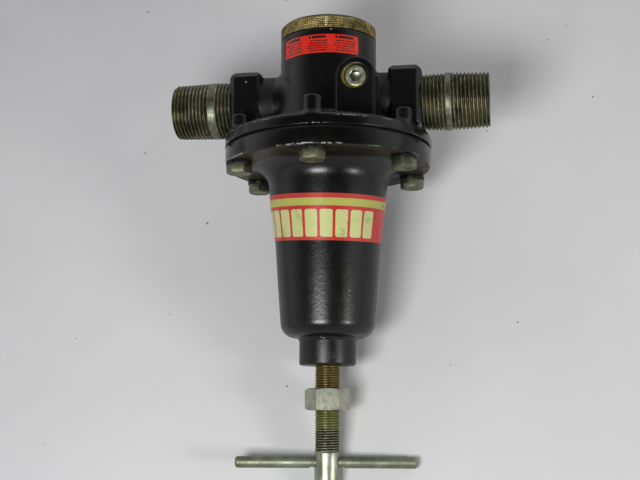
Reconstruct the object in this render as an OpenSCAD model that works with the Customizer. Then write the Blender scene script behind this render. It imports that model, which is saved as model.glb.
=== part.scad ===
// Air pressure regulator with diaphragm, T-handle adjusting screw and two pipe nipples.
// Origin: where the pipe line crosses the main axis. +Z points to the bottom plug,
// +X to the outlet and -Y to the front gauge port. Millimetres.

/* [Pipe line] */
// Outer radius of the nipple's blank band
pipe_r = 16.7; // [16.6:0.05:16.8]
// Mean radius over the nipple's tapered thread crests
pipe_thread_r = 16.5; // [16.4:0.05:16.55]
// Bore radius of a nipple
pipe_bore_r = 13.3; // [12:0.1:13.6]
// Length of one nipple
nipple_len = 50.8; // [50:0.2:52]
// Length of a nipple's outer thread
thread_len = 22.2; // [21:0.1:23]
// Length of the blank band between the inlet nipple's two threads
inlet_blank = 3.6; // [1.6:0.2:4]
// Length of the blank band between the outlet nipple's two threads
outlet_blank = 2.3; // [1.6:0.1:4]
// Distance from the main axis to the inlet nipple's open end
inlet_reach = 91.5; // [90:0.5:94]
// Distance from the main axis to the outlet nipple's open end
outlet_reach = 94.2; // [92:0.5:95]

/* [Body] */
// Radius of the barrel
barrel_r = 28.2; // [28:0.1:29]
// Top of the barrel, where the plug's band sits
barrel_top = 38.7; // [38:0.1:40]
// Distance from the main axis to a hub's outer face
hub_face = 56.2; // [55.5:0.1:57]
// Half of the hub's width across flats
hub_half = 18.6; // [18.2:0.1:19.2]
// Bevel along the hub's long edges
hub_bevel = 3.6; // [3:0.1:4]
// Radius of the flanges
flange_r = 60; // [59.6:0.1:60.5]
// Height of the body flange's upper rim
flange_top = -20; // [-20.4:0.1:-19.6]
// Half width of a gauge boss
gauge_boss_r = 11.3; // [11:0.1:11.8]
// Distance of a gauge port from the main axis, toward the outlet
gauge_x = 20; // [19.5:0.1:20.5]
// Height of a gauge port
gauge_z = 9.2; // [8.8:0.1:9.6]
// Distance of a gauge boss's face from the middle plane
gauge_face = 29.5; // [29:0.1:30.5]

/* [Diaphragm joint] */
// Height of the middle of the joint
joint_z = -27.45; // [-27.6:0.05:-27.3]
// Thickness of the diaphragm
diaphragm_t = 1.5; // [1.3:0.1:1.6]
// Drop of the diaphragm's middle at rest
dish = 2.2; // [2:0.1:2.4]
// Radius of the bolt circle
bolt_circle = 54; // [53.8:0.1:54.2]
// Width across flats of a bolt head
bolt_af = 12.7; // [12.4:0.1:12.7]
// Radius of a bolt's shank
bolt_r = 3.97; // [3.9:0.01:3.98]
// Underside of the bonnet flange, where the washers sit
seat_z = -38; // [-38.2:0.1:-37.8]

/* [Bonnet] */
// Bottom of the bell
bell_bottom = -136.4; // [-137:0.1:-136]
// Radius of the neck
neck_r = 16.1; // [15.8:0.1:16.4]
// End of the neck
neck_end = -151.9; // [-152.5:0.1:-151.5]
// Wall of the bell
bell_wall = 3.6; // [3.2:0.1:3.8]

/* [Adjustment] */
// Radius over the screw's thread
screw_r = 7.145; // [7.14:0.005:7.15]
// Inner end of the adjusting screw
screw_tip = -129.2; // [-129.4:0.1:-129]
// Lower end of the screw's thread
thread_end = -200.7; // [-201:0.1:-200]
// Lower end of the screw
screw_end = -218.6; // [-220:0.1:-216]
// Width across flats of the lock nut
nut_af = 22.2; // [22:0.1:22.3]
// Lower face of the lock nut
nut_low = -177; // [-177.5:0.1:-176.5]
// Upper face of the lock nut
nut_high = -164.7; // [-165:0.1:-164.5]
// Length of the T-bar
bar_len = 101.6; // [100:0.2:103]
// Radius of the T-bar
bar_r = 3.2; // [3.15:0.01:3.22]
// Height of the T-bar's axis
bar_z = -205.7; // [-206:0.1:-205.5]
// Angle of the T-bar from the pipe line
bar_angle = 7.7; // [-180:0.1:180]
// Angle that the lock nut is turned to
nut_angle = 9; // [0:1:59]

/* [Hidden] */
$fn = 96;
clear = 0.02;                       // gap between pieces that are screwed or pressed together
run = 0.055;                        // radial clearance of a thread that turns
slide = 0.03;                       // radial clearance of a guided stem
bolt_count = 6;

body_low = joint_z + diaphragm_t / 2;         // lower face of the body flange
bonnet_top = joint_z - diaphragm_t / 2;       // upper face of the bonnet flange
bolt_boss_r = 5.2;
bolt_boss_top = -11;
bolt_depth = -14.5;                 // upper end of a bolt's shank
head_turn = [26, 52, 18, 40, 5, 33];          // angle that each bolt head is tightened to
washer_t = 2;
washer_r = 7.4;
head_h = 5.2;

plug_top = 47.3;
plug_low = 24;                      // lower end of the plug's spigot
spigot_r = 21.9;
plug_bevel = 1.7;
chamber_r = 22;                     // inlet chamber under the plug
guide_bore_r = 8;                   // blind bore in the plug that guides the poppet
guide_bore_top = 40;
groove_z = 37;                      // middle of the plug's seal groove
seal_r = 1.05;

web_low = 0.5;                      // web that carries the valve seat
web_high = 6.5;
seat_ring_r = 12;
orifice_r = 8.5;
seat_lip = 8;                       // height of the seat's sealing lip
outlet_r = 14;                      // outlet chamber under the web
outlet_low = -14;
duct_r = 12.5;
chamber_roof = -20;                 // roof of the diaphragm chamber in the body
dia_open_r = 44;                    // open radius over and under the diaphragm
clamp_r = 34;                       // radius of the two diaphragm plates
stem_r = 3;
plate_t = 2.5;
stud_r = 6;

dia_mid_high = body_low - dish;     // upper face of the diaphragm's middle
dia_mid_low = bonnet_top - dish;
upper_plate_top = dia_mid_high + plate_t;
spring_plate_low = dia_mid_low - plate_t - 0.5;
stud_top = upper_plate_top + 2;

button_low = -127;                  // spring button that the screw pushes on
button_high = -122;
button_r = 20;
pilot_r = 14.4;
ball_r = 3.2;
ball_z = -128;
coil_r = 17.4;                      // middle radius of the regulating spring
coil_wire = 2.5;
coil_turns = 8.5;
bar_shift = -0.8;                   // T-bar's middle along its own axis

black_paint = [0.09, 0.09, 0.09];
zinc = [0.52, 0.52, 0.42];
bright_zinc = [0.68, 0.68, 0.64];
old_brass = [0.36, 0.32, 0.18];
rubber = [0.05, 0.05, 0.05];
steel = [0.6, 0.6, 0.6];

function arc(cx, cz, r, a0, a1, n = 6) =
    [for (i = [0 : n]) let (a = a0 + (a1 - a0) * i / n) [cx + r * cos(a), cz + r * sin(a)]];

// Places its children once for each flange bolt, the first one at the front
module at_bolts() {
    for ($bolt = [0 : bolt_count - 1])
        rotate([0, 0, -90 + $bolt * 360 / bolt_count]) translate([bolt_circle, 0, 0]) children();
}

// Solid of revolution about Z from z0 to z1
module rod(r, z0, z1) {
    translate([0, 0, z0]) cylinder(r = r, h = z1 - z0);
}

// Solid of revolution about X from x0 to x1
module rod_x(r, x0, x1) {
    translate([x0, 0, 0]) rotate([0, 90, 0]) cylinder(r = r, h = x1 - x0);
}

// Hexagonal prism about Z, with one corner on X
module hex_rod(af, z0, z1) {
    translate([0, 0, z0]) cylinder(r = af / sqrt(3), h = z1 - z0, $fn = 6);
}

// Hexagonal prism with its low end, and its high end if asked, turned to a cone
module chamfered_hex(af, z0, z1, high = true) {
    ac = af / sqrt(3);
    turned = ac - af / 2 + 0.15;
    rise = 0.58 * (turned + 1);
    intersection() {
        hex_rod(af, z0, z1);
        rotate_extrude() polygon([[0, z0], [ac - turned, z0], [ac + 1, z0 + rise],
            [ac + 1, high ? z1 - rise : z1], [high ? ac - turned : ac + 1, z1], [0, z1]]);
    }
}

// Ring of round section about Z
module ring(r, section, z) {
    rotate_extrude() translate([r, z]) circle(r = section, $fn = 24);
}

// Helical wire about Z with flat closed ends, swept as one closed skin
module coil(r, wire, z0, z1, turns, per_turn, sides) {
    rings = round(turns * per_turn);
    low = z0 + wire;
    rise = z1 - z0 - 2 * wire;
    closed = 1 / turns;                     // share of the wire in each closed end
    function height(t) = t < closed ? low + wire * 0.9 * t / closed
        : t > 1 - closed ? low + rise - wire * 0.9 * (1 - t) / closed
        : low + wire * 0.9 + (rise - wire * 1.8) * (t - closed) / (1 - 2 * closed);
    points = [for (i = [0 : rings]) for (k = [0 : sides - 1])
        let (t = i / rings, a = 360 * turns * t, b = 360 * k / sides, q = r + wire * cos(b))
        [q * cos(a), q * sin(a), height(t) + wire * sin(b)]];
    walls = [for (i = [0 : rings - 1]) for (k = [0 : sides - 1])
        let (a = i * sides + k, b = i * sides + (k + 1) % sides)
        [a, a + sides, b + sides, b]];
    polyhedron(points, concat(walls, [[for (k = [0 : sides - 1]) k]],
        [[for (k = [sides - 1 : -1 : 0]) rings * sides + k]]), convexity = 8);
}

// Square pipe hub with bevelled edges and ends, on the outlet side
module hub() {
    inner = hub_face - 19.2;
    end_bevel = 3.2;
    inner_bevel = 2.4;
    side = [[inner, -hub_half + inner_bevel], [inner + inner_bevel, -hub_half],
        [hub_face - end_bevel, -hub_half], [hub_face, -hub_half + end_bevel],
        [hub_face, hub_half - end_bevel], [hub_face - end_bevel, hub_half],
        [inner + inner_bevel, hub_half], [inner, hub_half - inner_bevel]];
    f = hub_half;
    b = hub_bevel;
    intersection() {
        translate([0, 0, -f]) linear_extrude(2 * f) polygon(side);
        translate([0, f, 0]) rotate([90, 0, 0]) linear_extrude(2 * f) polygon(side);
        translate([inner, 0, 0]) rotate([90, 0, 90]) linear_extrude(hub_face - inner)
            polygon([[-f, -f + b], [-f + b, -f], [f - b, -f], [f, -f + b],
                [f, f - b], [f - b, f], [-f + b, f], [-f, f - b]]);
    }
    rod_x(f, barrel_r - 8, inner + 4);
}

// Round-topped pad of a gauge port, on the front
module gauge_boss() {
    edge = 1.6;
    for (step = [[0, gauge_face - edge], [edge, gauge_face]])
        translate([gauge_x, -10, 0]) rotate([90, 0, 0]) linear_extrude(step[1] - 10) {
            translate([0, gauge_z]) circle(r = gauge_boss_r - step[0]);
            translate([step[0] - gauge_boss_r, -19]) square([2 * (gauge_boss_r - step[0]), gauge_z + 19]);
        }
}

// Holes of a gauge port: thread, and a slanted drilling to the outlet duct
module gauge_port_cut() {
    translate([gauge_x, -gauge_face - 1, gauge_z]) rotate([-90, 0, 0]) cylinder(r = 6.72, h = 13.5);
    translate([gauge_x, -18, gauge_z - 0.6]) rotate([90 + 53, 0, 180]) cylinder(r = 2.5, h = 16);
}

module body() {
    color(black_paint) difference() {
        union() {
            rod(barrel_r, -22, barrel_top);
            for (side = [0, 180]) rotate([0, 0, side]) hub();
            gauge_boss();
            mirror([0, 1, 0]) gauge_boss();
            rotate_extrude() polygon([[0, body_low], [flange_r - 0.4, body_low], [flange_r, body_low + 0.5],
                [flange_r, flange_top - 1.8], [flange_r - 0.5, flange_top - 0.6],
                [flange_r - 1.8, flange_top], [29, -12], [0, -12]]);
            at_bolts() {
                rod(bolt_boss_r, flange_top - 2, bolt_boss_top - 1.4);
                rotate_extrude() polygon(concat([[0, bolt_boss_top - 1.5]],
                    arc(bolt_boss_r - 1.5, bolt_boss_top - 1.5, 1.5, 0, 90), [[0, bolt_boss_top]]));
            }
        }
        rod(chamber_r, web_high, barrel_top + 1);
        rod(seat_ring_r + clear, web_low - 1, web_high + 1);
        rod(outlet_r, outlet_low, web_low);
        rod(stem_r + slide, chamber_roof - 1, outlet_low + 1);
        rod(dia_open_r, body_low - 1, chamber_roof);
        translate([9, 0, 0]) rod(1.25, chamber_roof - 1, outlet_low + 1);
        // Pipe threads, inlet duct to the upper chamber, outlet duct from the lower one
        rod_x(pipe_thread_r + clear, 38, hub_face + 1);
        rod_x(pipe_thread_r + clear, -hub_face - 1, -38);
        rod_x(duct_r, -39, -18);
        difference() {
            rod_x(duct_r, 6, 39);
            translate([0, -20, 2.5]) cube([27, 40, 20]);
        }
        gauge_port_cut();
        mirror([0, 1, 0]) gauge_port_cut();
        at_bolts() rod(bolt_r + 0.08, body_low - 1, bolt_depth + 0.5);
    }
}

module bottom_plug() {
    groove = 2 * seal_r;
    color(old_brass) difference() {
        rotate_extrude() polygon([[0, plug_low], [spigot_r - 1, plug_low], [spigot_r, plug_low + 1],
            [spigot_r, groove_z - seal_r], [spigot_r - groove + 0.15, groove_z - seal_r],
            [spigot_r - groove + 0.15, groove_z + seal_r], [spigot_r, groove_z + seal_r],
            [spigot_r, barrel_top], [barrel_r, barrel_top],
            [barrel_r, plug_top - plug_bevel], [barrel_r - plug_bevel, plug_top],
            [20, plug_top], [19, plug_top - 1.6], [0, plug_top - 1.6]]);
        rod(guide_bore_r, plug_low - 1, guide_bore_top);
        // Key slot across the recessed face
        translate([-19, -1.6, plug_top - 4.4]) cube([38, 3.2, 5]);
    }
}

module plug_seal() {
    color(rubber) ring(spigot_r - seal_r + 0.115, seal_r - 0.05, groove_z);
}

// Nipple with its open end at x = reach
module nipple(reach, blank) {
    color(old_brass) difference() {
        union() {
            rod_x(pipe_thread_r, reach - nipple_len, reach);
            rod_x(pipe_r, reach - thread_len - blank, reach - thread_len);
        }
        rod_x(pipe_bore_r, reach - nipple_len - 1, reach + 1);
    }
}

module inlet_nipple() {
    mirror([1, 0, 0]) nipple(inlet_reach, inlet_blank);
}

module outlet_nipple() {
    nipple(outlet_reach, outlet_blank);
}

// Taper plug with a hexagon socket in a gauge port on the front
module gauge_plug() {
    color(bright_zinc) translate([gauge_x, -gauge_face + 0.9, gauge_z]) rotate([-90, 0, 0]) difference() {
        rod(6.7, 0, 10.2);
        hex_rod(6.35, -1, 5.2);
    }
}

module front_gauge_plug() {
    gauge_plug();
}

module rear_gauge_plug() {
    mirror([0, 1, 0]) gauge_plug();
}

module valve_seat() {
    color("goldenrod") rotate_extrude() polygon([[orifice_r, web_low], [seat_ring_r, web_low],
        [seat_ring_r, web_high], [orifice_r + 1.8, web_high], [orifice_r + 1.2, seat_lip],
        [orifice_r + 0.4, seat_lip], [orifice_r, seat_lip - 0.6]]);
}

// Warning label wrapped on the barrel's front
module body_label() {
    color([0.8, 0.14, 0.1]) rotate([0, 0, -141.5]) rotate_extrude(angle = 97.5)
        translate([barrel_r, 23.8]) square([0.15, 10.9]);
}

module diaphragm() {
    color(rubber) difference() {
        rotate_extrude() polygon([[stud_r + 0.05, dia_mid_low], [clamp_r + 2, dia_mid_low],
            [dia_open_r + 1, bonnet_top], [flange_r - 1.6, bonnet_top], [flange_r - 1.6, body_low],
            [dia_open_r + 1, body_low], [clamp_r + 2, dia_mid_high], [stud_r + 0.05, dia_mid_high]]);
        at_bolts() rod(bolt_r + 0.3, bonnet_top - 1, body_low + 1);
    }
}

// Outline of the bell from the flange to its lower corner
bell = [[34.4, -50.4], [32.5, -66], [31.4, -74], [30.2, -84],
    [29, -102], [28, -115], [27.1, -125.5]];

module bonnet() {
    inner = [for (p = bell) if (p[1] < -47) [p[0] - bell_wall, p[1]]];
    color(black_paint) difference() {
        rotate_extrude() polygon(concat(
            [[0, bonnet_top], [flange_r - 0.4, bonnet_top], [flange_r, bonnet_top - 0.5], [flange_r, -33.7],
                [flange_r - 0.4, seat_z + 0.7], [flange_r - 1.2, seat_z]],
            arc(46.4, seat_z - 12, 12, 90, 178), bell,
            arc(17.6, -126.9, 9.5, 0, -84), [[17.4, bell_bottom]],
            [[neck_r + 0.5, bell_bottom - 0.9], [neck_r, bell_bottom - 2.2]],
            [[neck_r, neck_end + 1.2], [neck_r - 0.4, neck_end + 0.4], [neck_r - 1.2, neck_end], [0, neck_end]]));
        rotate_extrude() polygon(concat([[0, bonnet_top + 1], [dia_open_r + 1, bonnet_top + 1],
            [dia_open_r + 1, bonnet_top], [dia_open_r, -33.5], [36.5, -35], [31.6, -44]],
            inner, [[23.4, -127.5], [22.4, -130], [21, -131], [0, -131]]));
        rod(screw_r + run, neck_end - 1, -130);
        at_bolts() rod(bolt_r + 0.3, seat_z - 1, bonnet_top + 1);
        // Breather hole at the back
        translate([0, 20, -95]) rotate([-90, 0, 0]) cylinder(r = 2, h = 14);
    }
}

module bonnet_bolts() {
    color(zinc) at_bolts() {
        rod(bolt_r, seat_z - washer_t - 0.1, bolt_depth);
        rotate([0, 0, head_turn[$bolt]]) chamfered_hex(bolt_af, seat_z - washer_t - head_h,
            seat_z - washer_t, high = false);
    }
}

// Split spring washers under the bolt heads
module lock_washers() {
    color([0.12, 0.12, 0.11]) at_bolts() difference() {
        rod(washer_r, seat_z - washer_t, seat_z);
        rod(bolt_r + 0.2, seat_z - washer_t - 1, seat_z + 1);
        rotate([0, 0, 140]) translate([2, -0.5, seat_z - washer_t - 1]) cube([8, 1, washer_t + 2]);
    }
}

// Name plate band around the bell, wrapped on its cone
module bonnet_label() {
    t = 0.15;
    levels = [-58, -66, -74, -84];
    radii = [for (p = bell) [p[1], p[0]]];
    inner = [for (z = levels) [lookup(z, radii), z]];
    outer = [for (i = [len(inner) - 1 : -1 : 0]) [inner[i][0] + t, inner[i][1]]];
    color([0.78, 0.2, 0.2]) rotate([0, 0, -190]) rotate_extrude(angle = 193) polygon(concat(inner, outer));
}

module valve_poppet() {
    color("goldenrod") difference() {
        rotate_extrude() polygon([[0, 8.6 + 1.9], [11.5 + clear, 8.6 + 1.9], [11.5 + clear, 8.6], [13, 8.6],
            [13, 13], [guide_bore_r - slide, 14.5], [guide_bore_r - slide, 27.2],
            [6.75, 27.2], [6.75, 28.8], [guide_bore_r - slide, 28.8], [guide_bore_r - slide, 32], [0, 32]]);
        rod(5.2, 16, 33);
        rod(stem_r + clear, 8, 14);
    }
}

// Rubber facing of the poppet
module valve_disc() {
    color(rubber) difference() {
        rod(11.5, seat_lip, 10.5);
        rod(stem_r + clear, seat_lip - 1, 11);
    }
}

module valve_stem() {
    color(steel) rotate_extrude() polygon([[0, stud_top + 0.1], [stem_r - 0.8, stud_top + 0.1],
        [stem_r, stud_top + 0.9], [stem_r, 14], [0, 14]]);
}

module poppet_seal() {
    color(rubber) ring(7.36, 0.58, 28);
}

module valve_spring() {
    color(steel) coil(4, 0.6, 16, guide_bore_top, 7, 14, 6);
}

module diaphragm_plate() {
    color(steel) rotate_extrude() polygon([[stud_r + clear, dia_mid_high], [clamp_r, dia_mid_high],
        [clamp_r, dia_mid_high + 1.2], [clamp_r - 1.3, upper_plate_top], [stud_r + clear, upper_plate_top]]);
}

// Plate under the diaphragm that centres the regulating spring
module spring_plate() {
    rim = 2.4;
    color(steel) rotate_extrude() polygon([[stud_r + clear, spring_plate_low],
        [coil_r + coil_wire + 0.8, spring_plate_low], [coil_r + coil_wire + 1.4, spring_plate_low - rim],
        [coil_r + coil_wire + 3.6, spring_plate_low - rim], [coil_r + coil_wire + 4.6, spring_plate_low],
        [clamp_r, dia_mid_low - 1.6], [clamp_r, dia_mid_low], [stud_r + clear, dia_mid_low]]);
}

// Stud through the diaphragm, with the relief passage that the stem's tip closes
module relief_stud() {
    color("goldenrod") difference() {
        rotate_extrude() polygon([[0, spring_plate_low - 6.5], [stud_r - 0.6, spring_plate_low - 6.5],
            [stud_r, spring_plate_low - 5.9], [stud_r, upper_plate_top], [9.5, upper_plate_top],
            [9.5, stud_top - 0.5], [9, stud_top], [0, stud_top]]);
        rod(1.6, spring_plate_low - 8, stud_top + 1);
    }
}

module stud_nut() {
    color(steel) difference() {
        chamfered_hex(17, spring_plate_low - 5, spring_plate_low, high = false);
        rod(stud_r + clear, spring_plate_low - 6, spring_plate_low + 1);
    }
}

module regulating_spring() {
    color(steel) coil(coil_r, coil_wire, button_high, spring_plate_low, coil_turns, 16, 8);
}

module spring_button() {
    color(steel) difference() {
        rotate_extrude() polygon([[0, button_low], [12, button_low], [button_r, button_high - 2.4],
            [button_r, button_high], [pilot_r, button_high], [pilot_r - 1, button_high + 4],
            [0, button_high + 4]]);
        translate([0, 0, ball_z]) sphere(r = ball_r + 0.05);
    }
}

module thrust_ball() {
    color(steel) translate([0, 0, ball_z]) sphere(r = ball_r);
}

// Direction and place of the T-bar in the screw's cross hole
module along_bar(r, length) {
    rotate([0, 0, bar_angle]) translate([bar_shift, 0, bar_z]) rotate([0, 90, 0])
        cylinder(r = r, h = length, center = true);
}

module adjusting_screw() {
    color(zinc) difference() {
        rotate_extrude() polygon([[0, screw_end], [screw_r - 1.4, screw_end], [screw_r, screw_end + 1.4],
            [screw_r, screw_tip - 1.2], [screw_r - 1.2, screw_tip], [0, screw_tip]]);
        translate([0, 0, ball_z]) sphere(r = ball_r + 0.15);
        along_bar(bar_r + clear, 40);
    }
}

module t_bar() {
    color(bright_zinc) along_bar(bar_r, bar_len);
}

module lock_nut() {
    color(zinc) difference() {
        rotate([0, 0, nut_angle]) chamfered_hex(nut_af, nut_low, nut_high);
        rod(screw_r + run, nut_low - 1, nut_high + 1);
    }
}

body();
bottom_plug();
plug_seal();
inlet_nipple();
outlet_nipple();
front_gauge_plug();
rear_gauge_plug();
valve_seat();
body_label();
diaphragm();
bonnet();
bonnet_bolts();
lock_washers();
bonnet_label();
valve_poppet();
valve_disc();
valve_stem();
poppet_seal();
valve_spring();
diaphragm_plate();
spring_plate();
relief_stud();
stud_nut();
regulating_spring();
spring_button();
thrust_ball();
adjusting_screw();
t_bar();
lock_nut();
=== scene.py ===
"""Looks of the air pressure regulator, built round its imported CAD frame. Lengths are in millimetres
until a mesh is made, and the frame's own axes are used: +Z to the bottom plug, +X to the outlet."""

import math
import random

import bmesh
import bpy
import numpy as np
import openvdb
from mathutils import Matrix, Vector

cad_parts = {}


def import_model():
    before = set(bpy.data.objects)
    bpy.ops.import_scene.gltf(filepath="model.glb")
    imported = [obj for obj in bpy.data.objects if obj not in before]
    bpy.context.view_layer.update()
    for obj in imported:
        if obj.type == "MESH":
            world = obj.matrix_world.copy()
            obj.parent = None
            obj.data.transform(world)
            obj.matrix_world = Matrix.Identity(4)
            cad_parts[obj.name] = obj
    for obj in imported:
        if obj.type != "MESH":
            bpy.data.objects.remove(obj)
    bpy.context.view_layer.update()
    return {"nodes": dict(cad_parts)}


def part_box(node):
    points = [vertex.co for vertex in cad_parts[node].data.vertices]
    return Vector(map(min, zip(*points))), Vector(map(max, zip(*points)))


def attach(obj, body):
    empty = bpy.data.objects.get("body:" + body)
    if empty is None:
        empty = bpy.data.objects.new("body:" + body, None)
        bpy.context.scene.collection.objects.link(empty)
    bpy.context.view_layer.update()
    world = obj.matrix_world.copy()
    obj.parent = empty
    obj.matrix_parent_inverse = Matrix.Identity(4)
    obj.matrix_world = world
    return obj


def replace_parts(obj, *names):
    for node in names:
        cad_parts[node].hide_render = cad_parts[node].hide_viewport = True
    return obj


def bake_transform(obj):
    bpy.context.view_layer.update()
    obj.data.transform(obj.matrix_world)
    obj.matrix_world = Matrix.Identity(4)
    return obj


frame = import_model()
MM = 0.001


def low(node):
    return np.array(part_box(node)[0]) / MM


def high(node):
    return np.array(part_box(node)[1]) / MM


# -------- sizes

BARREL_TOP = high("body")[2]
FLANGE_R = high("body")[1]
FLANGE_LOW = low("body")[2]
FLANGE_TOP = -20.0
BARREL_R = 28.2
HUB_FACE = 56.2
HUB_HALF = 18.6
BOSS_X, BOSS_Z, BOSS_R, BOSS_FACE = 20.0, 9.2, 11.3, 29.5
BOLT_CIRCLE = 54.0
BOLT_ANGLES = [-90 + 60 * k for k in range(6)]
BOLT_AF = 12.7
BOLT_R = 3.97
HEAD_TURN = [26, 52, 18, 40, 5, 33]
SEAT_Z = high("lock_washers")[2]
WASHER_T = SEAT_Z - low("lock_washers")[2]
BONNET_TOP = high("bonnet")[2]
NECK_END = low("bonnet")[2]
SCREW_R = 7.145
SCREW_TIP = high("adjusting_screw")[2]
SCREW_END = low("adjusting_screw")[2]
SCREW_PITCH = 25.4 / 18
THREAD_END = -200.7
NUT_AF = 22.2
NUT_LOW, NUT_HIGH = low("lock_nut")[2], high("lock_nut")[2]
NUT_ANGLE = 9
BAR_R = 3.2
BAR_LENGTH = 101.6
BAR_Z = -205.7
BAR_ANGLE = 7.7
BAR_SHIFT = -0.8
PIPE_PITCH = 25.4 / 11.5
PIPE_BORE_R = 13.3
PIPE_R = 16.7
NIPPLE_LENGTH = 50.8
PIPE_THREAD = 22.2
COVE_R = 12.0
BELL = [(34.4, -50.4), (32.5, -66), (31.4, -74), (30.2, -84), (29, -102), (28, -115), (26.95, -128.2)]
BELL_CORNER_R = 8.5
BELL_FLOOR = -136.4

# -------- meshes


def linked(name, data):
    obj = bpy.data.objects.new(name, data)
    bpy.context.scene.collection.objects.link(obj)
    return obj


def mesh_piece(name, points, faces, sharp=35):
    """A mesh object from points in millimetres, smooth but for edges over the sharp angle."""
    data = bpy.data.meshes.new(name)
    data.from_pydata([tuple(p) for p in np.asarray(points, float) * MM], [], [tuple(f) for f in faces])
    obj = linked(name, data)
    clean(obj, sharp)
    return obj


def clean(obj, sharp):
    """Merges doubled points, turns the faces outward and marks the sharp edges."""
    bm = bmesh.new()
    bm.from_mesh(obj.data)
    bmesh.ops.remove_doubles(bm, verts=bm.verts, dist=1e-6)
    bmesh.ops.dissolve_degenerate(bm, edges=bm.edges, dist=1e-7)
    bmesh.ops.recalc_face_normals(bm, faces=bm.faces)
    bm.to_mesh(obj.data)
    bm.free()
    obj.data.shade_smooth()
    obj.data.set_sharp_from_angle(angle=math.radians(sharp))


def rounded(points, closed=False, steps=5):
    """The outline with each corner (r, z, radius) turned into an arc of that radius."""
    out = []
    count = len(points)
    for i, p in enumerate(points):
        corner = np.array(p[:2], float)
        radius = p[2] if len(p) > 2 else 0
        if not radius or (not closed and i in (0, count - 1)):
            out.append(corner)
            continue
        before = np.array(points[i - 1][:2], float) - corner
        after = np.array(points[(i + 1) % count][:2], float) - corner
        lengths = np.linalg.norm(before), np.linalg.norm(after)
        before, after = before / lengths[0], after / lengths[1]
        half = math.acos(float(np.clip(before @ after, -1, 1))) / 2
        reach = min(radius / max(math.tan(half), 1e-6), 0.49 * lengths[0], 0.49 * lengths[1])
        radius = reach * math.tan(half)
        middle = before + after
        if np.linalg.norm(middle) < 1e-6:
            out.append(corner)
            continue
        centre = corner + middle / np.linalg.norm(middle) * radius / math.sin(half)
        a, b = corner + before * reach - centre, corner + after * reach - centre
        sweep = math.pi - 2 * half
        for t in np.linspace(0, 1, steps + 1):
            share = (math.sin((1 - t) * sweep) * a + math.sin(t * sweep) * b) / math.sin(sweep)
            out.append(centre + share)
    return out


def ring_faces(rings, columns, closed=False):
    """Quads from each ring of points to the next, and from the last to the first if closed."""
    faces = []
    for i in range(rings if closed else rings - 1):
        a, b = i * columns, (i + 1) % rings * columns
        for k in range(columns):
            n = (k + 1) % columns
            faces.append((a + k, a + n, b + n, b + k))
    return faces


def turned(rows, columns, closed, axis="Z", radius=None):
    """Points and faces of a body of revolution. rows are (r, s) with s along the axis; radius(angle, r, s)
    may change r round the turn. closed joins the last row to the first, as on a tube."""
    angle = np.linspace(0, 2 * math.pi, columns, endpoint=False)
    rings = []
    for r, s in rows:
        reach = radius(angle, r, s) if radius else plain(angle, r)
        across, up, along = reach * np.cos(angle), reach * np.sin(angle), plain(angle, s)
        rings.append(np.stack([across, up, along] if axis == "Z" else [along, across, up], 1))
    return np.concatenate(rings), ring_faces(len(rings), columns, closed)


def lathe(name, points, columns, closed=False):
    """A piece turned about Z from an outline of corners (r, z, rounding)."""
    return mesh_piece(name, *turned(rounded(points, closed), columns, closed))


def rod(name, r, z0, z1):
    return lathe(name, [(0, z0), (r, z0), (r, z1), (0, z1)], 64)


def plain(angle, r):
    """The same radius all the way round."""
    return np.full(len(angle), float(r))


def thread_shape(pitch, depth, start, end, fade_start, fade_end):
    """radius(angle, r, s) for turned(): a right-hand thread cut into r between start and end."""
    crest, root = 0.14, 0.1            # flats, as shares of half a pitch

    def radius(angle, r, s):
        if s < start or s > end:
            return plain(angle, r)
        phase = (s / pitch - angle / (2 * math.pi)) % 1
        height = np.clip((np.abs(2 * phase - 1) - root) / (1 - crest - root), 0, 1)
        fade = min(1, (s - start) / fade_start) if fade_start else 1
        fade *= min(1, (end - s) / fade_end) if fade_end else 1
        return r - depth * fade * (1 - height)
    return radius


def apply_modifiers(obj):
    bpy.context.view_layer.update()
    shape = bpy.data.meshes.new_from_object(obj.evaluated_get(bpy.context.evaluated_depsgraph_get()))
    obj.modifiers.clear()
    obj.data = shape


def carve(obj, cutters, operation="DIFFERENCE", sharp=35):
    """Cuts the cutters from obj and removes them."""
    for cutter in cutters:
        step = obj.modifiers.new("cut", "BOOLEAN")
        step.operation = operation
        step.solver = "EXACT"
        step.object = cutter
    apply_modifiers(obj)
    for cutter in cutters:
        bpy.data.objects.remove(cutter)
    clean(obj, sharp)
    return obj


def soften(obj, width, segments, angle):
    """Bevels the piece's edges that are over an angle, by width."""
    bm = bmesh.new()
    bm.from_mesh(obj.data)
    bmesh.ops.dissolve_limit(bm, angle_limit=math.radians(0.6), verts=bm.verts, edges=bm.edges)
    bm.to_mesh(obj.data)
    bm.free()
    bevel = obj.modifiers.new("bevel", "BEVEL")
    bevel.width = width * MM
    bevel.segments = segments
    bevel.limit_method = "ANGLE"
    bevel.angle_limit = math.radians(angle)
    apply_modifiers(obj)
    clean(obj, 40)
    return obj


def polar(angle, r, z=0):
    """Point in millimetres at an angle round the main axis, in degrees from +X."""
    return (r * math.cos(math.radians(angle)), r * math.sin(math.radians(angle)), z)


def spin(degrees, axis="Z"):
    return Matrix.Rotation(math.radians(degrees), 4, axis)


def place(obj, turn, shift):
    """Turns obj by a matrix and then moves it, in millimetres."""
    obj.data.transform(Matrix.Translation(Vector(shift) * MM) @ turn)
    return obj


def at_bolt(index, obj):
    return place(obj, spin(BOLT_ANGLES[index]), polar(BOLT_ANGLES[index], BOLT_CIRCLE))


def dress(obj, material):
    obj.data.materials.clear()
    obj.data.materials.append(material)


def finish_piece(obj, body, slot, material, *nodes):
    """Gives a piece its material and hangs it on its CAD body in place of CAD nodes; slot is not used."""
    dress(obj, material)
    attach(obj, body)
    if nodes:
        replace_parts(obj, *nodes)
    return obj


# -------- materials


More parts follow.
